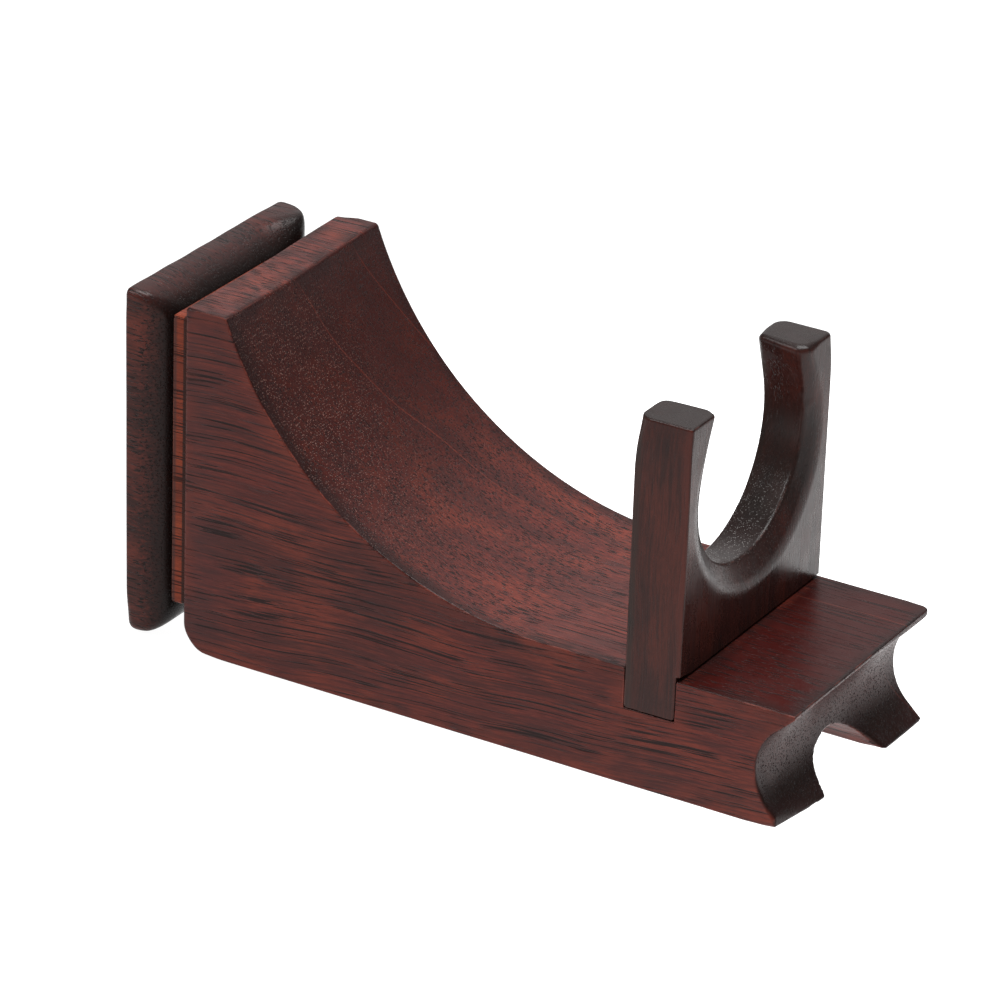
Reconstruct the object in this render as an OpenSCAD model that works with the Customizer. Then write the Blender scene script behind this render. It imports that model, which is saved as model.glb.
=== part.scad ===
// Dip pen holder: a wooden stand with a hollowed back rest, a U shaped fork
// let into its foot, and an end plate held off the body by a thin spacer.
// Units are millimetres. +Z is up, +X runs from the end plate to the lip.
// The origin is under the middle of the whole stand, on the surface it stands on.

/* [Body] */
// Length of the body, from its heel to the lip over the end cove
body_length = 92.7; // [88:0.1:110]
// Width of the body, and of everything that lines up with its sides
body_width = 38; // [36:0.5:46]
// Height of the body at its back rest
body_height = 50.1; // [46:0.1:56]
// Thickness of the base in front of the back rest
base_thickness = 16.8; // [16:0.1:20]
// Length of the flat on top of the back rest
top_flat = 6.4; // [4:0.1:9]
// Radius of the hollow slope between the top and the base
slope_radius = 52.3; // [48:0.1:60]
// Radius of the lower corner at the heel
heel_radius = 4; // [1:0.1:5]

/* [End cove] */
// Radius of the hollow cut across the end of the base
cove_radius = 7.6; // [6.5:0.1:7.6]
// Height of the middle of the hollow
cove_height = 8; // [7.7:0.1:8.4]
// How far the hollow goes in behind the lip
cove_depth = 5.3; // [4:0.1:5.4]
// Height of the blunt edge of the lip
lip_edge = 0.5; // [0.2:0.1:0.8]
// How much shorter the feet are than the lip
foot_setback = 0.3; // [0:0.1:0.8]

/* [Underside groove] */
// Radius of the round groove along the underside
groove_radius = 8.2; // [7:0.1:9]
// Depth of the groove
groove_depth = 5.3; // [4:0.1:6]

/* [Fork] */
// Thickness of the fork
fork_thickness = 8.1; // [6:0.1:9]
// Distance from the heel to the back face of the fork
fork_position = 67.9; // [64:0.1:72]
// Height of the prong tops above the surface that the stand is on
fork_height = 52.2; // [50:0.1:58]
// Depth that the fork is let into the base
housing_depth = 5.8; // [4:0.1:7]
// Width of the ledge by which the fork overhangs its housing
shoulder = 0.65; // [0:0.05:1]
// Radius of the U opening at its waist, where a pen rests
waist_radius = 14.1; // [12:0.1:15]
// Radius of the U opening at the back face of the fork
back_radius = 15.5; // [15:0.1:17]
// Height of the centre of the U opening
opening_height = 40.8; // [39.5:0.1:42]
// Width of the mouth between the prong tips
mouth_width = 24.0; // [22:0.1:26]
// Radius of the outer top corners of the prongs
prong_corner = 0.6; // [0.5:0.1:2]
// Depth of the bevel that widens the front of the U
bevel_depth = 1.8; // [1:0.1:3]
// Width of that bevel at its lowest point
bevel_width = 3.8; // [2:0.1:4]
// How far the bevel's centre lies under the centre of the U
bevel_drop = 1.2; // [0.5:0.1:2]

/* [Spacer and end plate] */
// Thickness of the spacer
spacer_thickness = 2.4; // [1.5:0.1:5]
// How far the spacer is set back from the sides of the body
spacer_side_inset = 0.95; // [0.5:0.05:2]
// How far the spacer is set back from the top of the body
spacer_top_inset = 1.8; // [0.5:0.1:4]
// Height of the lower edge of the spacer
spacer_bottom = 5.9; // [3:0.1:8]
// Thickness of the end plate
plate_thickness = 7.2; // [6:0.1:10]
// Height of the end plate
plate_height = 50.6; // [46:0.1:57]
// Radius of the quarter round that faces the body
plate_round = 7; // [2:0.1:7]
// Radius of the outer edges of the end plate
plate_edge = 0.9; // [0.2:0.1:2]
// Radius of the four corners of the end plate, seen from its back
plate_corner = 1.6; // [0.5:0.1:4]

/* [Dowels] */
// Diameter of the two dowels
dowel_diameter = 6; // [4:0.5:8]
// Depth of the dowel holes in the end plate
dowel_in_plate = 4.4; // [3:0.1:4.8]
// Depth of the dowel holes in the body
dowel_in_body = 13; // [8:0.5:13]
// Height of the lower dowel
dowel_low = 13; // [11:0.5:16]
// Height of the upper dowel
dowel_high = 30; // [26:0.5:31]
// Width of the chamfer on each end of a dowel
dowel_chamfer = 0.6; // [0.2:0.1:1]

/* [Hidden] */

// Overrun of every cutter past the surface it leaves through
cut = 1;
// Radial gap round a dowel, and the air left at the bottom of its holes
dowel_gap = 0.05;
dowel_end_gap = 0.4;

total_length = plate_thickness + spacer_thickness + body_length;
heel_x = plate_thickness + spacer_thickness - total_length / 2;
plate_x = -total_length / 2;
spacer_x = plate_x + plate_thickness;
fork_x = heel_x + fork_position;
housing_floor = base_thickness - housing_depth;
tongue_thickness = fork_thickness - shoulder;

// Centre of the slope's arc, which touches the base and ends at the top flat
slope_z = base_thickness + slope_radius;
slope_x = top_flat + sqrt(pow(slope_radius, 2) - pow(slope_z - body_height, 2));
cove_centre = [body_length - cove_depth + cove_radius, cove_height];
lip_point = [body_length, base_thickness - lip_edge];
foot_point = [body_length - foot_setback, 0];
groove_z = groove_depth - groove_radius;
bevel_radius = waist_radius + bevel_width - bevel_drop;
dowel_length = dowel_in_plate + spacer_thickness + dowel_in_body - 2 * dowel_end_gap;

$fn = 128;

// Turns an outline in X and Z into a bar across the stand, centred on Y = 0
module across(width) {
    rotate([90, 0, 0])
        linear_extrude(width, center = true)
            children();
}

// Turns an outline in Y and Z into a bar along +X from X = 0
module along(length) {
    rotate([90, 0, 90])
        linear_extrude(length)
            children();
}

// Waste outside a round corner at the origin of a square that lies in +X and +Y
module corner_waste(radius) {
    difference() {
        translate([-cut, -cut])
            square(radius + cut);
        translate([radius, radius])
            circle(radius);
    }
}

// A rectangle from X = 0 and centred on Y = 0, with its own radius at each end
module end_rounded(length, width, near_radius, far_radius) {
    difference() {
        translate([0, -width / 2])
            square([length, width]);
        for (side = [0, 1]) {
            mirror([0, side])
                translate([0, -width / 2])
                    corner_waste(near_radius);
            mirror([0, side])
                translate([length, -width / 2])
                    mirror([1, 0])
                        corner_waste(far_radius);
        }
    }
}

module rounded_rectangle(length, width, radius) {
    translate([-length / 2, 0])
        end_rounded(length, width, radius, radius);
}

// Where the tangent from a point touches a circle, on its upper (1) or lower (-1) half
function touch(point, centre, radius, half) =
    let (
        across = centre - point,
        reach = sqrt(max(0, pow(norm(across), 2) - pow(radius, 2))),
        turn = atan2(across.y, across.x) - half * asin(min(1, radius / norm(across)))
    )
    point + reach * [cos(turn), sin(turn)];

// The end cove: a round hollow with straight flanks to the lip and to the feet
module cove_waste() {
    beyond = 2 * cove_radius;
    translate(cove_centre)
        circle(cove_radius);
    polygon([
        touch(lip_point, cove_centre, cove_radius, 1),
        lip_point,
        lip_point + [beyond, 0],
        foot_point + [beyond, -cut],
        foot_point + [0, -cut],
        foot_point,
        touch(foot_point, cove_centre, cove_radius, -1)
    ]);
}

// Side view of the body, with its heel at X = 0
module body_outline() {
    difference() {
        square([body_length, body_height]);
        translate([slope_x, slope_z])
            circle(slope_radius, $fn = 360);
        translate([slope_x, base_thickness])
            square([body_length, body_height]);
        cove_waste();
        corner_waste(heel_radius);
    }
}

// Blind holes for both dowels, running along +X from X = 0
module dowel_holes(depth) {
    for (height = [dowel_low, dowel_high])
        translate([0, 0, height])
            rotate([0, 90, 0])
                cylinder(h = depth, d = dowel_diameter + 2 * dowel_gap);
}

module dowel_pin(height) {
    side = dowel_diameter / 2;
    translate([spacer_x - dowel_in_plate + dowel_end_gap, 0, height])
        rotate([0, 90, 0])
            rotate_extrude()
                polygon([
                    [0, 0],
                    [side - dowel_chamfer, 0],
                    [side, dowel_chamfer],
                    [side, dowel_length - dowel_chamfer],
                    [side - dowel_chamfer, dowel_length],
                    [0, dowel_length]
                ]);
}

// Front view of the fork, with its foot in the housing
module fork_outline() {
    difference() {
        translate([-body_width / 2, housing_floor])
            square([body_width, fork_height - housing_floor]);
        translate([0, opening_height])
            circle(waist_radius);
        translate([-mouth_width / 2, opening_height])
            square([mouth_width, fork_height - opening_height + cut]);
        for (side = [0, 1])
            mirror([side, 0])
                translate([-body_width / 2, fork_height])
                    mirror([0, 1])
                        corner_waste(prong_corner);
    }
}

module body() {
    color("saddlebrown")
        difference() {
            translate([heel_x, 0, 0])
                across(body_width)
                    body_outline();
            // round groove along the underside
            translate([heel_x - cut, 0, groove_z])
                rotate([0, 90, 0])
                    cylinder(h = body_length + 2 * cut, r = groove_radius);
            // housing for the foot of the fork
            translate([fork_x, -body_width / 2 - cut, housing_floor])
                cube([tongue_thickness, body_width + 2 * cut, housing_depth + cut]);
            translate([heel_x - cut, 0, 0])
                dowel_holes(dowel_in_body + cut);
        }
}

module pen_fork() {
    color("#3a1c17")
        difference() {
            translate([fork_x, 0, 0])
                along(fork_thickness)
                    fork_outline();
            // ledge that overhangs the housing
            translate([fork_x + tongue_thickness, -body_width / 2 - cut, housing_floor - cut])
                cube([shoulder + cut, body_width + 2 * cut, housing_depth + cut]);
            // the U narrows from the back face of the fork to its waist
            translate([fork_x, 0, opening_height])
                rotate([0, 90, 0])
                    cylinder(h = fork_thickness - bevel_depth, r1 = back_radius, r2 = waist_radius);
            // bevel in front of the waist, fading out up the prongs
            translate([fork_x + fork_thickness - bevel_depth, 0, opening_height - bevel_drop])
                rotate([0, 90, 0])
                    cylinder(h = bevel_depth, r1 = bevel_radius - bevel_width, r2 = bevel_radius);
        }
}

module spacer() {
    color("sienna")
        difference() {
            translate([spacer_x, spacer_side_inset - body_width / 2, spacer_bottom])
                cube([
                    spacer_thickness,
                    body_width - 2 * spacer_side_inset,
                    body_height - spacer_top_inset - spacer_bottom
                ]);
            translate([spacer_x - cut, 0, 0])
                dowel_holes(spacer_thickness + 2 * cut);
        }
}

module end_plate() {
    color("#4a231b")
        difference() {
            // quarter rounds meet in a mitre at each corner
            intersection() {
                translate([plate_x, 0, plate_height / 2])
                    along(plate_thickness)
                        rounded_rectangle(body_width, plate_height, plate_corner);
                translate([plate_x, 0, plate_height / 2])
                    across(body_width)
                        end_rounded(plate_thickness, plate_height, plate_edge, plate_round);
                translate([plate_x, 0, 0])
                    linear_extrude(plate_height)
                        end_rounded(plate_thickness, body_width, plate_edge, plate_round);
            }
            translate([spacer_x - dowel_in_plate, 0, 0])
                dowel_holes(dowel_in_plate + cut);
        }
}

module dowel_upper() {
    color("burlywood")
        dowel_pin(dowel_high);
}

module dowel_lower() {
    color("burlywood")
        dowel_pin(dowel_low);
}

body();
pen_fork();
spacer();
end_plate();
dowel_upper();
dowel_lower();
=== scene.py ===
"""Visual model of a wooden dip pen holder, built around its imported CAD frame."""

import itertools
import math

import bpy
import numpy as np
from mathutils import Matrix, Vector


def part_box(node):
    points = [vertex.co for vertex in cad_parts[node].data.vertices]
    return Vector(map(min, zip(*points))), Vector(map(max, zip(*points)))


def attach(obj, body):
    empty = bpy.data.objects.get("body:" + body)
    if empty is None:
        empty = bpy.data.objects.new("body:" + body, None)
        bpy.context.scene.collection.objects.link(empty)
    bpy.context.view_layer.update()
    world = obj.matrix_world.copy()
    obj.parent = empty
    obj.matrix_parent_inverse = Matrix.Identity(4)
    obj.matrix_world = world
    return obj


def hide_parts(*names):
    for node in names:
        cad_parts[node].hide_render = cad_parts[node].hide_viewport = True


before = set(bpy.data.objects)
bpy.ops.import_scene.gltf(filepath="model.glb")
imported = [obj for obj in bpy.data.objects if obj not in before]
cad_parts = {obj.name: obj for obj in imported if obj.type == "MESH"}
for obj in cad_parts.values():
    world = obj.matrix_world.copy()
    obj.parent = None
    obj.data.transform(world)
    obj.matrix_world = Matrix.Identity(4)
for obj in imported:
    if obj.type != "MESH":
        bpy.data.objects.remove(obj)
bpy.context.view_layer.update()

MM = 0.001


# ---------------------------------------------------------------- distances

def limits(node):
    """Lowest and highest corner of a CAD node, in millimetres."""
    low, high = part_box(node)
    return np.array(low) / MM, np.array(high) / MM


BODY_LOW, BODY_HIGH = limits("body")
FORK_LOW, FORK_HIGH = limits("pen_fork")
SPACER_LOW, SPACER_HIGH = limits("spacer")
PLATE_LOW, PLATE_HIGH = limits("end_plate")

# body, in millimetres like all sizes down to the studio's
HALF_WIDTH = BODY_HIGH[1]
BASE_TOP = 16.8
SLOPE_RADIUS = 52.3
TOP_FLAT = 6.4
TOP_RISE = 0.55  # the top is this much higher on the far side
SLOPE_Z = BASE_TOP + SLOPE_RADIUS
SLOPE_X = BODY_LOW[0] + TOP_FLAT + math.sqrt(
    SLOPE_RADIUS ** 2 - (SLOPE_Z - BODY_HIGH[2]) ** 2)
COVE_RADIUS = 7.6
COVE_DEPTH = 5.3
COVE_Z = 8.0
LIP_EDGE = 0.5
FOOT_SETBACK = 0.3
GROOVE_RADIUS = 8.2
GROOVE_Z = -2.9
HEEL_ROUND = 3.6
REST_ARRIS = 0.45
NOSE_ARRIS = 0.15
SIDE_ARRIS = 0.2
GROOVE_ARRIS = 0.4
SHARP = 0.03

# fork
SHOULDER = 0.65
TONGUE = FORK_HIGH[0] - FORK_LOW[0] - SHOULDER
WAIST_RADIUS = 14.0
OPENING_Z = 40.8
MOUTH = 12.0  # half of its width
MOUTH_BLEND = 2.4
GLUE_GAP = 0.01
LEDGE_GAP = 0.25
FUNNEL = 1.35
FUNNEL_DEPTH = 6.3
BEVEL_RADIUS = 16.4

# spacer
SPACER_SHORT = 0.15

# end plate
PLATE_ROUND = 7.0
PLATE_RIM = 1.1
PLATE_TAPER = 0.35

# dowels
DOWEL_HEIGHTS = (13.0, 30.0)
DOWEL_HOLE = 3.05
DOWEL_IN_BODY = 13.0
DOWEL_IN_PLATE = 4.4


def ramp(value, start, end):
    """0 before start, 1 after end, smooth in between. start may lie past end.

    With places in millimetres it keeps a term to one part of a piece.
    """
    t = np.clip((value - start) / (end - start), 0, 1)
    return t * t * (3 - 2 * t)


def meet(a, b, radius):
    """Intersection of two solids, with a round arris of that radius."""
    both = np.hypot(np.maximum(radius + a, 0), np.maximum(radius + b, 0))
    return np.minimum(-radius, np.maximum(a, b)) + both


def wander(x, y, z, size, seed):
    """Smooth hand-made unevenness from 0 to 1, in waves about size long."""
    total = 0.0
    for i in range(4):
        angle = seed * 1.7 + i * 2.4
        kx, ky, kz = math.cos(angle), math.sin(angle), math.cos(angle * 1.3 + 1)
        pace = 2 * math.pi / (size * (0.7 + 0.25 * i))
        total = total + np.sin((kx * x + ky * y + kz * z) * pace + seed * 3.1 + i)
    return np.clip(0.5 + total / 8, 0, 1)


def touch(point, centre, radius, half):
    """Where the tangent from a point touches a circle, on its upper or lower half."""
    across = np.subtract(centre, point)
    far = np.hypot(*across)
    turn = math.atan2(across[1], across[0]) - half * math.asin(radius / far)
    reach = math.sqrt(far ** 2 - radius ** 2)
    return np.array(point) + reach * np.array([math.cos(turn), math.sin(turn)])


def cove_face(x, z):
    """Above 0 in the hollow across the end of the base: a circle and two tangents."""
    centre = np.array([BODY_HIGH[0] - COVE_DEPTH + COVE_RADIUS, COVE_Z])
    lip = np.array([BODY_HIGH[0], BASE_TOP - LIP_EDGE])
    foot = np.array([BODY_HIGH[0] - FOOT_SETBACK, 0.0])
    hollow = COVE_RADIUS - np.hypot(x - centre[0], z - centre[1])
    flanks = []
    for point, half in ((lip, 1), (foot, -1)):
        start = touch(point, centre, COVE_RADIUS, half)
        along = (point - start) / np.hypot(*(point - start))
        inward = (centre - start) / COVE_RADIUS
        past = (x - start[0]) * along[0] + (z - start[1]) * along[1] > 0
        depth = (x - start[0]) * inward[0] + (z - start[1]) * inward[1]
        flanks.append((past, depth))
    (past_lip, to_lip), (past_foot, to_foot) = flanks
    face = np.where(past_lip, to_lip, np.where(past_foot, to_foot, hollow))
    return np.where(past_lip & past_foot, np.minimum(to_lip, to_foot), face)


def body_faces(x, y, z):
    """Signed distance to each face of the body by itself."""
    on_slope = SLOPE_RADIUS - np.hypot(x - SLOPE_X, z - SLOPE_Z)
    lift = 0.45 * ramp(x, BODY_LOW[0] + 9, BODY_LOW[0]) ** 2
    slant = 0.17 * np.clip(-8 - y, 0, 11) * ramp(z, 9, 1)
    return {
        "heel": BODY_LOW[0] - x,
        "bottom": lift - z,
        "top": z - BODY_HIGH[2] - TOP_RISE * ramp(y, -6, HALF_WIDTH),
        "slope": np.where(x < SLOPE_X, on_slope, z - BASE_TOP),
        "tip": x - BODY_HIGH[0] + slant,
        "cove": cove_face(x - 0.4 * ramp(y, 2, 15), z),
        "side": np.abs(y) - HALF_WIDTH,
        "groove": GROOVE_RADIUS + 0.1 - np.hypot(y - 0.35, z - GROOVE_Z),
        "housing": -np.maximum(np.maximum(FORK_LOW[0] - x, x - FORK_LOW[0] - TONGUE),
                               FORK_LOW[2] - z),
    }


def dowel_holes(x, y, z, start, end):
    """Signed distance to the two dowel holes between start and end, below 0 inside."""
    holes = np.hypot(y, z - DOWEL_HEIGHTS[0]), np.hypot(y, z - DOWEL_HEIGHTS[1])
    return np.maximum(np.minimum(*holes) - DOWEL_HOLE, np.maximum(start - x, x - end))


def body_solid(x, y, z):
    """The body, with arrises that are rounder where the hand has worn them."""
    f = body_faces(x, y, z)
    back = meet(f["heel"], f["bottom"], HEEL_ROUND)
    upper = meet(f["top"], f["slope"], REST_ARRIS)
    nose = meet(f["tip"], f["cove"], NOSE_ARRIS)
    profile = meet(meet(back, upper, 0.5), nose, NOSE_ARRIS + 0.25 * ramp(z, 10, 3))
    at_end = ramp(x, 47, 50)
    heel = 0.35 * ramp(x, BODY_LOW[0] + 3, BODY_LOW[0] + 0.5)
    under_lip = 0.3 * ramp(x, 44, 48) * ramp(z, 16, 13)
    far_top = 0.9 * ramp(y, 10, 17) * ramp(z, 46, 49) * ramp(x, -38, -41)
    far_lip = 0.2 * ramp(y, 0, 10) * at_end * ramp(z, 10, 14)
    near_foot = 0.6 * ramp(y, 0, -10) * at_end * ramp(z, 6, 1)
    soft = SIDE_ARRIS + heel + under_lip + far_top + far_lip + near_foot
    blunt = 0.05 + 1.3 * ramp(y, 0, 10) * ramp(z, 10, 14)
    solid = meet(profile, meet(f["side"], f["tip"], blunt), soft)
    solid = meet(solid, f["groove"], GROOVE_ARRIS + 0.5 * ramp(y, 0, 6) * at_end)
    solid = meet(solid, f["housing"], SHARP)
    solid = np.maximum(solid, -dowel_holes(x, y, z, BODY_LOW[0] - 9,
                                           BODY_LOW[0] + DOWEL_IN_BODY))
    return solid + 0.025 * wander(x, y, z, 17, 1)


def opening(y, z, radius, centre, half):
    """Above 0 inside a U opening: a circle that leads into a mouth with hooked tips."""
    ring = radius - np.hypot(y, z - centre)
    fade = 3.2 * ramp(z, centre + 4.5, centre) + 2 * np.maximum(centre - z, 0)
    hook = ramp(z, 46, 51.5) * (0.15 + 0.45 * ramp(y, -5, 5))
    return meet(ring, half - hook - np.abs(y) - fade, MOUTH_BLEND)


def fork_faces(x, y, z):
    """Signed distance to each face of the fork by itself.

    The waist of the U widens towards the back, and a bevel runs round its front.
    """
    behind, ahead = x - FORK_LOW[0], FORK_HIGH[0] - x
    lean = 0.25 * ramp(z, 46, 53) ** 2
    funnel = FUNNEL * (1 - np.clip(behind / FUNNEL_DEPTH, 0, 1) ** 0.8)
    ledge = BASE_TOP + LEDGE_GAP + 0.3 * ramp(y, -16.5, -18.5) - z
    tongue = x - FORK_LOW[0] - TONGUE + GLUE_GAP
    bevel = opening(y, z, BEVEL_RADIUS - 1.94 * ahead + 0.06 * ahead ** 2,
                    OPENING_Z - 1.1,
                    MOUTH + 0.9 - 0.62 * ahead + 0.45 * ramp(z, 52.5, 49))
    return {
        "back": FORK_LOW[0] + GLUE_GAP - x,
        "front": np.maximum(x - FORK_HIGH[0], np.minimum(tongue, ledge)),
        "bottom": FORK_LOW[2] + GLUE_GAP - z,
        "top": z - FORK_HIGH[2],
        "side": np.abs(y) - HALF_WIDTH + lean,
        "waist": opening(y - 0.15 * funnel, z, WAIST_RADIUS + 1.08 * funnel, OPENING_Z,
                         MOUTH + 0.25 * funnel),
        "bevel": bevel / (1.3 + 0.7 * ramp(z, 50, 38)),
    }


def fork_solid(x, y, z):
    """The fork: sharp inside its housing, rounder above it and most at the tips."""
    f = fork_faces(x, y, z)
    tip = ramp(z, 43, 53) ** 2
    housed = ramp(z, BASE_TOP - 0.6, BASE_TOP + 0.8)
    in_front = ramp(x, FORK_LOW[0] + 4, FORK_HIGH[0] - 1)
    outside = meet(f["front"], f["side"],
                   SHARP + 0.25 * housed + 0.8 * tip * ramp(y, 10, 17))
    outside = meet(outside, f["back"],
                   SHARP + 0.13 * housed + 1.9 * tip * ramp(np.abs(y), 13, 17))
    inside = meet(f["waist"], f["bevel"], 0.35)
    plan = meet(outside, inside, 0.15 + 1.2 * tip * (1 - in_front)
                + (0.4 - 0.2 * tip) * in_front)
    ends = meet(f["top"], f["bottom"], 0.05)
    blunt = tip * (0.7 * ramp(y, 15.5, 12.5) * ramp(y, 0, 5)
                   + 0.25 * ramp(y, -14.5, -12.5))
    return (meet(plan, ends, SHARP + 0.27 * housed + blunt)
            + 0.02 * wander(x, y, z, 15, 2))


def spacer_faces(x, y, z):
    """Signed distance to the spacer's broad faces and sides."""
    half = (SPACER_HIGH[0] - SPACER_LOW[0]) / 2
    return {"x": np.abs(x - SPACER_LOW[0] - half) - half,
            "y": np.abs(y) - SPACER_HIGH[1]}


def spacer_solid(x, y, z):
    """The spacer, a little shorter than the CAD's at its top and bottom."""
    middle = (SPACER_LOW + SPACER_HIGH) / 2
    reach = (SPACER_HIGH - SPACER_LOW) / 2
    a, b, c = (np.abs(v - m) - r for v, m, r in zip((x, y, z), middle, reach))
    solid = meet(a, meet(b, c + SPACER_SHORT, 0.4), 0.1)
    return np.maximum(solid, -dowel_holes(x, y, z, SPACER_LOW[0] - 1,
                                          SPACER_HIGH[0] + 1))


def plate_faces(x, y, z):
    """Signed distance to each face of the end plate by itself."""
    middle = (PLATE_LOW[2] + PLATE_HIGH[2]) / 2
    taper = PLATE_TAPER * (1 - z / PLATE_HIGH[2])
    return {
        "back": PLATE_LOW[0] + taper - x,
        "front": x - PLATE_HIGH[0],
        "side": np.abs(y) - HALF_WIDTH + 0.3 * ramp(y, 9, 18) * ramp(z, 25, 45),
        "end": (np.abs(z - middle) - (PLATE_HIGH[2] - PLATE_LOW[2]) / 2
                - 0.3 * ramp(y, 6, 17) * ramp(z, 40, 45)),
    }


def plate_solid(x, y, z):
    """The end plate: a large round in front, and a hand-made unevenness on top."""
    f = plate_faces(x, y, z)
    far_top = ramp(y, 8, 17) * ramp(z, 40, 48)
    low_down = ramp(z, 7, 1)
    rim = meet(f["side"], f["end"], PLATE_RIM + 0.6 * low_down)
    soft = PLATE_ROUND - 1.3 * ramp(z, 14, 2)
    over_side = meet(f["front"], f["side"], soft - 0.4 * far_top)
    over_end = meet(f["front"], f["end"], soft - 4.6 * far_top)
    solid = meet(rim, meet(over_side, over_end, 1.2), 0.5)
    solid = meet(solid, f["back"], 0.4 + 0.8 * far_top + 0.9 * low_down)
    solid = np.maximum(solid, -dowel_holes(x, y, z, PLATE_HIGH[0] - DOWEL_IN_PLATE,
                                           PLATE_HIGH[0] + 9))
    dents = 0.09 * ramp(x, -46, -50) * ramp(z, 44, 49) * wander(x, y, z, 5, 4)
    return solid + 0.03 * wander(x, y, z, 16, 3) + dents


# ---------------------------------------------------------------- meshes

FINEST = 0.14  # grid step at a plane where faces meet
GROWTH = 0.3  # growth of the step with the distance from that plane
MARGIN = 0.7  # room around a piece on its grid
ARRIS_REACH = 12.0
MAX_PUSH = 0.3
LEAST_SLOPE = 0.05
NORMAL_STEP = 0.03


def grid_lines(low, high, coarse, planes):
    """Grid positions from low to high, closer together near the given planes."""
    lines, at = [low], low
    while at < high:
        near = min(abs(at + FINEST / 2 - p) for p in planes)
        at += min(coarse, FINEST + GROWTH * near)
        lines.append(at)
    return np.array(lines)


def surface_net(solid, lines):
    """Vertices and quads near the zero surface of solid, on a box grid."""
    values = solid(*np.meshgrid(*lines, indexing="ij"))
    inside = values < 0
    cells = [slice(0, -1), slice(1, None)]
    count = sum(inside[a, b, c].astype(np.int8)
                for a, b, c in itertools.product(cells, repeat=3))
    active = (count > 0) & (count < 8)
    number = np.full(active.shape, -1)
    number[active] = np.arange(active.sum())
    i, j, k = np.nonzero(active)
    total, hits = np.zeros((len(i), 3)), np.zeros(len(i))
    for axis in range(3):
        for u, v in itertools.product((0, 1), repeat=2):
            offset = [u, v]
            offset.insert(axis, 0)
            a = np.array([i, j, k]) + np.array(offset)[:, None]
            b = a.copy()
            b[axis] += 1
            va, vb = values[tuple(a)], values[tuple(b)]
            crossing = (va < 0) != (vb < 0)
            share = np.where(crossing, va / np.where(crossing, va - vb, 1), 0)
            pa = np.stack([lines[n][a[n]] for n in range(3)], 1)
            pb = np.stack([lines[n][b[n]] for n in range(3)], 1)
            total += np.where(crossing[:, None], pa + share[:, None] * (pb - pa), 0)
            hits += crossing
    quads = []
    for axis in range(3):
        one, two = [n for n in range(3) if n != axis]
        lower, upper = [slice(1, -1)] * 3, [slice(1, -1)] * 3
        lower[axis], upper[axis] = slice(0, -1), slice(1, None)
        first, second = inside[tuple(lower)], inside[tuple(upper)]
        at = np.array(np.nonzero(first != second))
        leaving = first[tuple(at)]
        at[one] += 1
        at[two] += 1
        ring = []
        for du, dv in ((-1, -1), (0, -1), (0, 0), (-1, 0)):
            cell = at.copy()
            cell[one] += du
            cell[two] += dv
            ring.append(number[tuple(cell)])
        ring = np.stack(ring, 1)
        if axis == 1:
            leaving = ~leaving
        quads.append(np.where(leaving[:, None], ring, ring[:, ::-1]))
    return total / hits[:, None], np.concatenate(quads)


def slope_of(solid, points, step=0.01):
    """Gradient of solid at each point."""
    parts = []
    for axis in range(3):
        ahead, behind = points.copy(), points.copy()
        ahead[:, axis] += step
        behind[:, axis] -= step
        parts.append((solid(*ahead.T) - solid(*behind.T)) / (2 * step))
    return np.stack(parts, 1)


def settle(solid, points, rounds):
    """Moves points onto the zero surface of solid."""
    for _ in range(rounds):
        slope = slope_of(solid, points)
        size = np.maximum((slope ** 2).sum(1), LEAST_SLOPE)
        push = (solid(*points.T) / size)[:, None] * slope
        points = points - np.clip(push, -MAX_PUSH, MAX_PUSH)
    return points


def evened(solid, points, quads, rounds=4):
    """Spreads the points evenly along the surface."""
    starts, ends = quads.ravel(), np.roll(quads, -1, 1).ravel()
    both = np.concatenate([starts, ends]), np.concatenate([ends, starts])
    degree = np.bincount(both[0], minlength=len(points))[:, None]
    for _ in range(rounds):
        middle = np.stack([np.bincount(both[0], points[both[1], n], len(points))
                           for n in range(3)], 1) / degree
        slope = slope_of(solid, points)
        normal = slope / np.maximum(np.linalg.norm(slope, axis=1), 1e-6)[:, None]
        drift = middle - points
        drift -= (drift * normal).sum(1)[:, None] * normal
        points = settle(solid, points + 0.5 * drift, 1)
    return settle(solid, points, 2)


def second_nearest(faces, points):
    """About how far each point lies from the nearest arris, in millimetres."""
    values = np.sort(np.stack(list(faces(*points.T).values())), axis=0)
    return np.clip(-values[-2], 0, ARRIS_REACH)


def build(name, solid, faces, low, high, coarse, planes, node, material,
          rise=0.0):
    """A visible piece that stands for one CAD node.

    planes holds, for each axis, where faces meet. rise is how far the piece may go
    past the top of its CAD node.
    """
    lines = [grid_lines(low[n] - MARGIN, high[n] + MARGIN, coarse, planes[n])
             for n in range(3)]
    points, quads = surface_net(solid, lines)
    points = evened(solid, settle(solid, points, 3), quads)
    points = np.clip(points, low, high + np.array([0, 0, rise]))
    mesh = bpy.data.meshes.new(name)
    mesh.from_pydata((points * MM).tolist(), [], quads.tolist())
    mesh.polygons.foreach_set("use_smooth", np.ones(len(quads), bool))
    arris = mesh.attributes.new("arris", "FLOAT", "POINT")
    arris.data.foreach_set("value", second_nearest(faces, points).astype(np.float32))
    mesh.update()
    slope = slope_of(solid, points, NORMAL_STEP)
    slope /= np.maximum(np.linalg.norm(slope, axis=1), 1e-6)[:, None]
    mesh.normals_split_custom_set_from_vertices(slope.tolist())
    piece = bpy.data.objects.new(name, mesh)
    bpy.context.scene.collection.objects.link(piece)
    mesh.materials.append(material)
    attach(piece, "root")
    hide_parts(node)


# ---------------------------------------------------------------- materials

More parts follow.
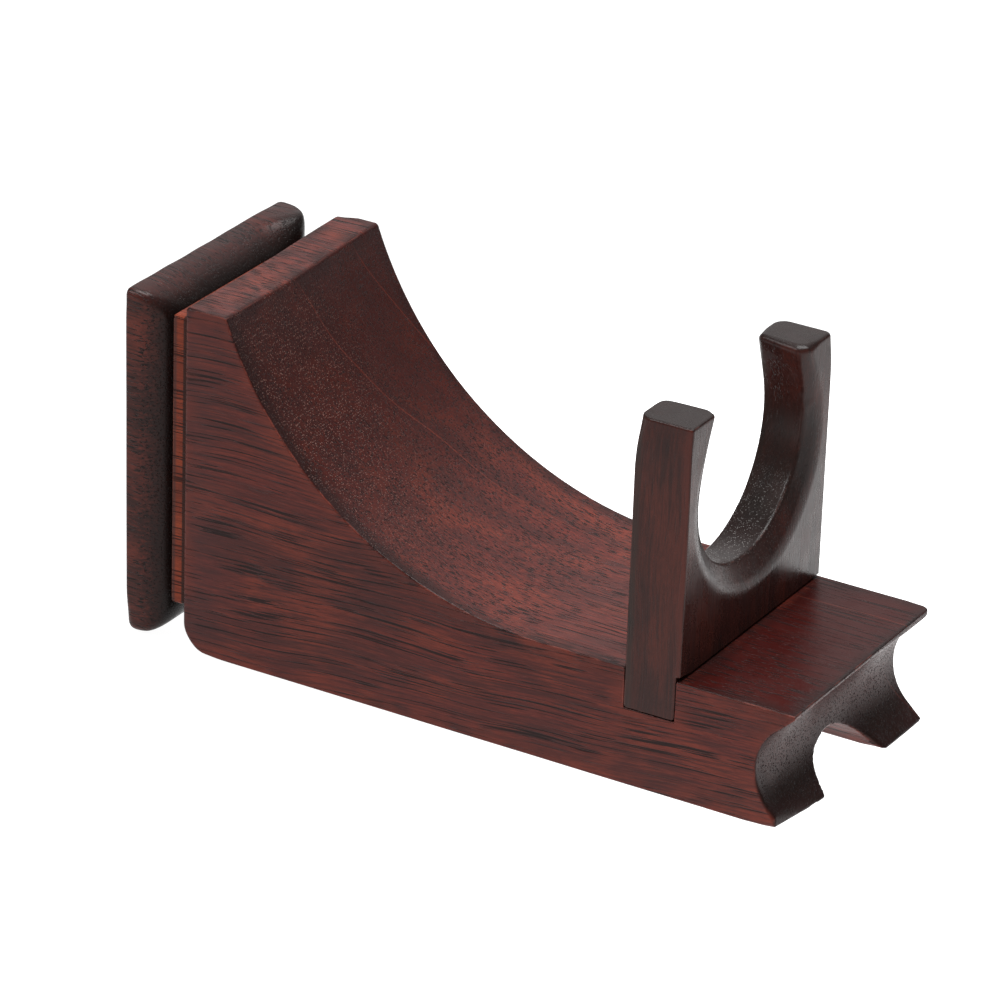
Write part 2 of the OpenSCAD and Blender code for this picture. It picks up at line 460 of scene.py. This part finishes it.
class Graph:
    """Node material maker. Values go straight on to the sockets that use them."""

    def __init__(self, name):
        self.material = bpy.data.materials.new(name)
        self.material.use_nodes = True
        self.tree = self.material.node_tree
        self.tree.nodes.clear()

    def node(self, kind, inputs, output=0, **settings):
        made = self.tree.nodes.new("ShaderNode" + kind)
        for key, value in settings.items():
            setattr(made, key, value)
        for key, value in inputs.items():
            if isinstance(value, bpy.types.NodeSocket):
                self.tree.links.new(value, made.inputs[key])
            else:
                made.inputs[key].default_value = value
        return made.outputs[output] if made.outputs else None

    def math(self, operation, *values):
        return self.node("Math", dict(enumerate(values)), operation=operation)

    def vector(self, operation, *values, output=0):
        return self.node("VectorMath", dict(enumerate(values)), output,
                         operation=operation)

    def step(self, value, start, end, low=0.0, high=1.0):
        """Smooth step of value from low at start to high at end."""
        return self.node("MapRange", {0: value, 1: start, 2: end, 3: low, 4: high},
                         interpolation_type="SMOOTHSTEP")

    def scaled(self, vector, sizes):
        """Vector with each axis divided by its own size in millimetres."""
        return self.vector("DIVIDE", vector, sizes)

    def noise(self, vector, detail=2.0, rough=0.5, output=0):
        return self.node("TexNoise", {"Vector": vector, "Scale": 1.0, "Detail": detail,
                                      "Roughness": rough}, output)

    def cells(self, vector, output="Distance"):
        return self.node("TexVoronoi", {"Vector": vector, "Scale": 1.0}, output)

    def mix(self, share, a, b):
        """Colour from a to b. Sockets 6, 7 and 2 are the Mix node's colour sockets."""
        a, b = (c if isinstance(c, bpy.types.NodeSocket) else (*c, 1.0) for c in (a, b))
        return self.node("Mix", {0: share, 6: a, 7: b}, 2, data_type="RGBA")

    def split(self, vector):
        made = self.tree.nodes.new("ShaderNodeSeparateXYZ")
        self.tree.links.new(vector, made.inputs[0])
        return made.outputs

    def finish(self, colour, roughness, height, relief, specular):
        bump = self.node("Bump", {"Height": height, "Distance": relief,
                                  "Strength": 1.0})
        shader = self.node("BsdfPrincipled", {
            "Base Color": colour, "Roughness": roughness, "Normal": bump,
            "Specular IOR Level": specular})
        self.node("OutputMaterial", {"Surface": shader})
        return self.material


# wavelengths of the wood's figure in millimetres, along the fibre and twice across it
BEND = (32, 20, 20)
CLOUDS = (12, 5.5, 5.5)
STREAKS = (12.0, 0.34, 0.34)
FINE = (1.5, 0.13, 0.13)
CROWD = (22, 2.0, 2.0)
THREADS = (24.0, 0.28, 0.28)

# other sizes of the wood's figure, in millimetres
BEND_REACH = (0.0, 1.7, 4.0)
WOBBLE = (34, 16, 22)
WOBBLE_REACH = 5.0
BAND_LENGTH = 30.0
BAND_WIDTH = 3.4
PORE_WIDTH = 0.36
PORE_LENGTH = 36.0  # in pore widths
# cell size of the painted glint specks on end grain
GLINT_SIZE = 0.25
YEAR = 14.7
FIRST_YEAR = 13.5
YEAR_LINE = 0.16
PATCH = 3.6
SWELL = 7.0
RELIEF = 0.08


def wood(name, dark, middle, light, grain=0, tilt=0.0, seed=1.0, rings=(0.0, 1.0, 0.42),
         pore_size=1.0, pore_share=1.0, end_dark=0.5, rough=0.32, specular=0.18,
         ring_lines=0.0, glint_specks=0.0, glint_tint=(0.32, 0.18, 0.15), glint_fades=(),
         edge_stain=0.5, wear_and_highlight=0.5, stripes=0.6, lines=0.9, end_tint=None,
         end_pores=0.45, zones=()):
    """Open pored, stained and lacquered hardwood.

    grain is the fibre axis, 0 or 2. Each glint fade is an axis, where the painted glint
    specks are faint and where they are full. Each of zones is an axis, where the zone
    starts, where it is full, its share, its colour and the mask of the faces that show
    it. Some zones are painted shade.
    """
    g = Graph(name)
    place = g.vector("MULTIPLY", g.node("TexCoord", {}, "Object"), (1 / MM,) * 3)
    where = g.split(place)
    normal = g.split(g.node("TexCoord", {}, "Normal"))
    turn = (0, tilt + (math.pi / 2 if grain == 2 else 0), 0)
    fibre = g.node("Mapping", {"Vector": place, "Rotation": turn,
                               "Location": (seed, seed * 2.3, -seed)})
    bend = g.vector("SUBTRACT", g.noise(g.scaled(fibre, BEND), 1.0, output=1),
                    (0.5, 0.5, 0.5))
    fibre = g.vector("ADD", fibre, g.vector("MULTIPLY", bend, BEND_REACH))

    # how far each point shows end grain, looks up, and belongs to a long side
    end = g.step(g.math("ABSOLUTE", normal[grain]), 0.18, 0.85)
    up = g.step(normal[2], 0.0, 0.6)
    on_side = g.step(g.math("ABSOLUTE", normal[1]), 0.5, 0.9)

    # growth rings as soft bands that run along the fibre
    wobble = g.math("MULTIPLY", g.noise(g.scaled(place, WOBBLE), 1.0), WOBBLE_REACH)
    ring = g.math("ADD", g.vector("DOT_PRODUCT", place, rings, output=1), wobble)
    along = g.math("DIVIDE", g.split(fibre)[0], BAND_LENGTH)
    band_place = g.node("CombineXYZ", {0: along, 1: g.math("DIVIDE", ring, BAND_WIDTH),
                                       2: seed})
    bands = g.noise(band_place, 2.0, 0.6)
    clouds = g.noise(g.scaled(fibre, CLOUDS), 2.0, 0.55)
    streaks = g.noise(g.scaled(fibre, STREAKS), 3.0, 0.62)
    fine = g.noise(g.scaled(fibre, FINE), 2.0, 0.6)
    colour = g.mix(g.step(bands, 0.34, 0.66, 0.0, 0.7), middle, dark)
    colour = g.mix(g.step(clouds, 0.46, 0.68, 0.0, 0.6), colour, light)
    colour = g.mix(g.step(streaks, 0.46, 0.68, 0.0, stripes), colour, dark)
    colour = g.mix(g.step(streaks, 0.50, 0.32, 0.0, 0.5 * stripes), colour, light)
    colour = g.mix(g.step(fine, 0.62, 0.38, 0.0, 0.35), colour,
                   tuple(0.62 * c for c in dark))

    # end grain takes more stain. The zones that each piece names tint or darken set
    # regions; some of them are painted shade, and each of those says so where it is
    # listed
    colour = g.mix(g.math("MULTIPLY", end, end_dark), colour, end_tint or dark)
    inner = g.step(g.math("MULTIPLY", where[1], normal[1]), -1.5, -6.0)
    slant = g.math("MULTIPLY", up, g.step(normal[2], 0.985, 0.93))
    masks = {"all": 1.0, "end": end, "up": up, "side": on_side, "inner": inner,
             "slant": slant}
    for axis, start, stop, share, tint, mask in zones:
        zone = g.math("MULTIPLY", g.step(where[axis], start, stop, 0.0, share),
                      masks[mask])
        colour = g.mix(zone, colour, tint)

    # vessels: long cells and threads along the fibre, which the surface cuts to
    # streaks on long grain and to dots on end grain
    crowd = g.step(g.noise(g.scaled(fibre, CROWD), 2.0), 0.36, 0.62)
    size = PORE_WIDTH * pore_size
    cells = g.scaled(fibre, (PORE_LENGTH * size, size, size))
    reach = g.step(crowd, 0.0, 1.0, 0.14, 0.29)
    pores = g.step(g.math("SUBTRACT", g.cells(cells), reach), 0.05, -0.08)
    thread = g.noise(g.scaled(fibre, THREADS), 1.0, 0.4)
    pores = g.math("MAXIMUM", pores, g.step(thread, 0.585, 0.675, 0.0, lines))
    pores = g.math("MULTIPLY", pores, g.step(end, 0.0, 1.0, pore_share,
                                             end_pores * pore_share))
    ink = tuple(0.22 * c + 0.001 for c in dark)
    colour = g.mix(g.math("MULTIPLY", pores, 0.95), colour, ink)

    # painted glints: some open vessels in up-facing end grain get light specks painted
    # into the colour, as if they catch the light
    if glint_specks:
        dots = g.scaled(place, (GLINT_SIZE,) * 3)
        tint = g.split(g.cells(dots, "Color"))
        spot = g.step(g.cells(dots), 0.36, 0.16)
        chosen = g.step(tint[0], 0.44, 0.52)
        painted_glints = g.math("MULTIPLY", g.math("MULTIPLY", spot, chosen),
                     g.math("MULTIPLY", end, up))
        for axis, start, stop in glint_fades:
            painted_glints = g.math("MULTIPLY", painted_glints, g.step(where[axis], start, stop, 0.05, 1.0))
        colour = g.mix(g.math("MULTIPLY", painted_glints, glint_specks), colour, glint_tint)

    # thin light lines on the hollow where one year's growth ends
    if ring_lines:
        there = g.math("MULTIPLY", up, g.step(ring, 9.0, 13.0))
        day = g.math("FLOORED_MODULO", g.math("SUBTRACT", ring, FIRST_YEAR), YEAR)
        off = g.math("ABSOLUTE", g.math("SUBTRACT", day, YEAR / 2))
        line = g.step(off, YEAR_LINE, YEAR_LINE / 4, 0.0, ring_lines)
        line = g.math("MULTIPLY", line, there)
        colour = g.mix(line, colour, tuple(1.3 * c for c in light))

    # arrises: stain gathers beside them, except on the long sides, where they are
    # lighter, and the arris itself is lightened for wear and as a painted highlight
    arris = g.node("Attribute", {}, "Fac", attribute_name="arris")
    patch = g.noise(g.scaled(place, (PATCH,) * 3), 3.0)
    beside = g.math("MULTIPLY", g.step(arris, 3.2, 0.2), g.step(patch, 0.32, 0.6))
    stain = g.math("MULTIPLY", beside, g.math("MULTIPLY_ADD", on_side, -0.85, 1.0))
    colour = g.mix(g.math("MULTIPLY", stain, edge_stain), colour,
                   tuple(0.45 * c for c in dark))
    glow = g.math("MULTIPLY", beside, g.math("MULTIPLY", on_side, 0.35 * edge_stain))
    colour = g.mix(glow, colour, light)
    # wear and painted highlight: a pale colour on the arris itself
    worn_and_highlit = g.math("MULTIPLY", g.step(arris, 0.26, 0.04), g.step(patch, 0.45, 0.62))
    colour = g.mix(g.math("MULTIPLY", worn_and_highlit, wear_and_highlight), colour,
                   tuple(min(1, 1.5 * c + 0.025) for c in light))

    # the lacquer is uneven and sinks into the vessels, which are dull on end grain
    roughness = g.math("ADD", g.step(patch, 0.3, 0.7, rough - 0.04, rough + 0.06),
                       g.math("MULTIPLY", pores, g.step(end, 0.0, 1.0, 0.08, 0.4)))
    swell = g.noise(g.scaled(place, (SWELL,) * 3), 1.0)
    height = g.math("MULTIPLY_ADD", pores, -0.7, g.math("MULTIPLY", fine, 0.22))
    height = g.math("MULTIPLY_ADD", swell, 1.2, height)
    return g.finish(colour, roughness, height, RELIEF * MM, specular)


body_wood = wood("body wood", (0.042, 0.0125, 0.0115), (0.101, 0.0190, 0.0148),
                 (0.172, 0.0310, 0.0175), tilt=math.radians(3.0), seed=4.0,
                 specular=0.14, ring_lines=0.28, glint_specks=0.65,
                 glint_fades=((0, 36.0, 24.0), (1, 13.0, -9.0)), edge_stain=0.85,
                 end_dark=0.75, end_tint=(0.0235, 0.0058, 0.0050), end_pores=0.85,
                 stripes=0.85, lines=1.0, wear_and_highlight=0.5,
                 zones=((0, -31.0, -41.0, 0.4, (0.058, 0.0200, 0.0195), "side"),
                        # painted shade: the base top ahead of the fork is darkened to a
                        # deep red that stands for the fork's dark reflection
                        (0, 34.0, 36.0, 0.90, (0.031, 0.0028, 0.0022), "up"),
                        (1, -15.8, -18.6, 0.75, (0.009, 0.0042, 0.0040), "slant"),
                        (0, 50.3, 50.9, 0.9, (0.008, 0.006, 0.006), "up"),
                        (2, 8.0, 2.5, 0.75, (0.011, 0.0085, 0.0065), "end")))
fork_wood = wood("fork wood", (0.020, 0.0085, 0.0075), (0.047, 0.0130, 0.0100),
                 (0.085, 0.0185, 0.0120), grain=2, seed=9.0, rings=(0.5, 1.0, 0.0),
                 pore_size=0.6, pore_share=0.35, rough=0.25, specular=0.18,
                 glint_specks=0.55, glint_tint=(0.30, 0.29, 0.28),
                 glint_fades=((2, 40.0, 30.0),), edge_stain=0.3, wear_and_highlight=0.4, lines=0.5,
                 end_tint=(0.0125, 0.0090, 0.0085), end_dark=0.85,
                 # painted shade: a dark grey band beside the back arris on the long
                 # sides stands for the shade of a rounded arris
                 zones=((0, FORK_LOW[0] + 1.4, FORK_LOW[0] + 0.6, 0.7,
                         (0.022, 0.0175, 0.0150), "side"),
                        (0, FORK_HIGH[0] - 1.4, FORK_HIGH[0] - 0.3, 0.6,
                         (0.085, 0.0190, 0.0130), "side"),
                        # painted shade: the inner walls of the U grow darker grey
                        # towards its bottom, in the recess
                        (2, 47.0, 39.0, 0.65, (0.0115, 0.0098, 0.0088), "inner")))
spacer_wood = wood("spacer wood", (0.095, 0.0190, 0.0110), (0.190, 0.0330, 0.0150),
                   (0.290, 0.0550, 0.0200), tilt=0.02, seed=14.0, edge_stain=0.1,
                   wear_and_highlight=0.1, lines=1.0, specular=0.1,
                   # painted shade: the long sides darken beside the end plate, in the
                   # notch next to its round
                   zones=((0, SPACER_LOW[0] + 0.75, SPACER_LOW[0] + 0.35, 0.75,
                           (0.036, 0.020, 0.018), "side"),
                          # painted shadow: a dark band where the body's arris hides the
                          # inset spacer
                          (0, SPACER_HIGH[0] - 0.88, SPACER_HIGH[0] - 0.74, 0.9,
                           (0.010, 0.005, 0.004), "all")))
plate_wood = wood("plate wood", (0.020, 0.0085, 0.0075), (0.066, 0.0160, 0.0125),
                  (0.140, 0.0280, 0.0175), tilt=math.radians(-2.0), seed=21.0,
                  rough=0.28, specular=0.16, edge_stain=0.3, wear_and_highlight=0.8, stripes=0.85,
                  lines=1.0,
                  # painted shade: the up-facing top of the plate is darkened and made
                  # more purple
                  zones=((2, 44.0, 50.0, 0.5, (0.026, 0.0100, 0.0100), "up"),
                         # painted shade: the round in front goes nearly black towards
                         # the spacer, in the shadow of the gap between plate and body
                         (0, PLATE_HIGH[0] - 4.6, PLATE_HIGH[0] - 0.8, 0.92,
                          (0.0050, 0.0042, 0.0038), "all")))
dowel_wood = wood("dowel wood", (0.30, 0.17, 0.08), (0.52, 0.33, 0.17),
                  (0.66, 0.45, 0.26), seed=31.0, pore_size=0.6, rough=0.6,
                  specular=0.3)


# ---------------------------------------------------------------- pieces

SIDES = (-HALF_WIDTH, HALF_WIDTH)
build("body_block", body_solid, body_faces, BODY_LOW, BODY_HIGH, 0.46,
      ((BODY_LOW[0], FORK_LOW[0], FORK_LOW[0] + TONGUE, 47.5, BODY_HIGH[0]),
       (-HALF_WIDTH, -6.8, 8.1, HALF_WIDTH),
       (0.0, 3.0, BASE_TOP, BODY_HIGH[2])),
      "body", body_wood, TOP_RISE)
build("fork_block", fork_solid, fork_faces, FORK_LOW, FORK_HIGH, 0.36,
      ((FORK_LOW[0], FORK_HIGH[0]), SIDES, (BASE_TOP, FORK_HIGH[2])),
      "pen_fork", fork_wood)
build("spacer_strip", spacer_solid, spacer_faces, SPACER_LOW, SPACER_HIGH, 0.5,
      tuple(zip(SPACER_LOW, SPACER_HIGH)), "spacer", spacer_wood)
build("plate_block", plate_solid, plate_faces, PLATE_LOW, PLATE_HIGH, 0.42,
      ((PLATE_LOW[0],), SIDES, (PLATE_LOW[2], PLATE_HIGH[2])),
      "end_plate", plate_wood)

# the dowels are the CAD's own, with a wood of their own
for name in ("dowel_upper", "dowel_lower"):
    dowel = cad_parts[name]
    dowel.data.materials.clear()
    dowel.data.materials.append(dowel_wood)


# ---------------------------------------------------------------- studio

FLOOR_FRONT, FLOOR_BEHIND, FLOOR_FAR, FLOOR_EDGE = 0.92, 1.95, 0.97, 0.32
FLOOR_HALF = 3.0
FLOOR_DROP = 0.0002
FLOOR_GREY = (0.18, 0.18, 0.18, 1)
WHITE = (1, 1, 1, 1)
AIM = (0, 0, 0.02)


def area_light(name, place, aim, size, power):
    """A soft box at place that points at aim, all in metres."""
    data = bpy.data.lights.new(name, "AREA")
    data.shape, data.size, data.energy = "SQUARE", size, power
    made = bpy.data.objects.new(name, data)
    made.location = place
    made.rotation_mode = "QUATERNION"
    made.rotation_quaternion = (Vector(aim) - Vector(place)).to_track_quat("-Z", "Y")
    bpy.context.scene.collection.objects.link(made)


def table_material():
    """Pale table, brightest just behind the object, that fades out far away.

    Distances are in metres from the middle of the object.
    """
    g = Graph("pale table")
    x, y, _ = g.split(g.node("TexCoord", {}, "Object"))
    away = g.math("SQRT", g.math("ADD", g.math("MULTIPLY", x, x),
                                 g.math("MULTIPLY", y, y)))
    behind = g.math("ADD", g.math("MULTIPLY", x, 0.5), g.math("MULTIPLY", y, 0.866))
    glow = g.step(behind, -0.06, 0.09, FLOOR_FRONT, FLOOR_BEHIND)
    glow = g.math("MULTIPLY", glow,
                  g.step(away, 0.098, 0.135, 1.0, FLOOR_FAR / FLOOR_BEHIND))
    glow = g.math("MAXIMUM", glow, FLOOR_FRONT)
    glow = g.math("MULTIPLY", glow, g.step(away, 0.32, 0.7, 1.0, FLOOR_EDGE))
    shine = g.node("Emission", {"Color": WHITE, "Strength": glow})
    dull = g.node("BsdfDiffuse", {"Color": FLOOR_GREY})
    both = g.node("AddShader", {0: shine, 1: dull})
    g.node("OutputMaterial", {"Surface": both})
    return g.material


floor_mesh = bpy.data.meshes.new("floor")
floor_mesh.from_pydata([(x * FLOOR_HALF, y * FLOOR_HALF, -FLOOR_DROP)
                        for x, y in ((-1, -1), (1, -1), (1, 1), (-1, 1))],
                       [], [(0, 1, 2, 3)])
floor = bpy.data.objects.new("floor", floor_mesh)
floor_mesh.materials.append(table_material())
bpy.context.scene.collection.objects.link(floor)

world = bpy.data.worlds.new("studio")
world.use_nodes = True
sky = world.node_tree.nodes["Background"]
sky.inputs["Color"].default_value = WHITE
sky.inputs["Strength"].default_value = 0.22
bpy.context.scene.world = world
area_light("key", (-0.5, -0.7, 0.9), AIM, 0.5, 7.1)
area_light("top", (0.0, 0.1, 1.1), AIM, 0.7, 18.0)
area_light("soft box behind", (-0.25, 0.80, 0.54), (0, 0, 0.03), 1.0, 2.0)

# the camera looks from the front right and from above, at the photo's angle
AZIMUTH, ELEVATION, ROLL = (math.radians(a) for a in (29.906, 25.3125, 2.0105))
DISTANCE, ACROSS, UP = 0.73783, -0.04019, -0.00053
TARGET = Vector((0.04242, 0.0, 0.038))
back = Vector((math.sin(AZIMUTH) * math.cos(ELEVATION),
               -math.cos(AZIMUTH) * math.cos(ELEVATION), math.sin(ELEVATION)))
level = Vector((math.cos(AZIMUTH), math.sin(AZIMUTH), 0))
upward = back.cross(level)
right = math.cos(ROLL) * level + math.sin(ROLL) * upward
upward = math.cos(ROLL) * upward - math.sin(ROLL) * level
camera_data = bpy.data.cameras.new("camera")
camera_data.lens, camera_data.sensor_width = 207.69, 36.0
camera_data.clip_start, camera_data.clip_end = 0.05, 20.0
camera = bpy.data.objects.new("camera", camera_data)
spot = TARGET + back * DISTANCE + right * ACROSS + upward * UP
camera.matrix_world = (Matrix.Translation(spot)
                       @ Matrix((right, upward, back)).transposed().to_4x4())
bpy.context.scene.collection.objects.link(camera)
bpy.context.scene.camera = camera
bpy.context.scene.view_settings.view_transform = "Standard"
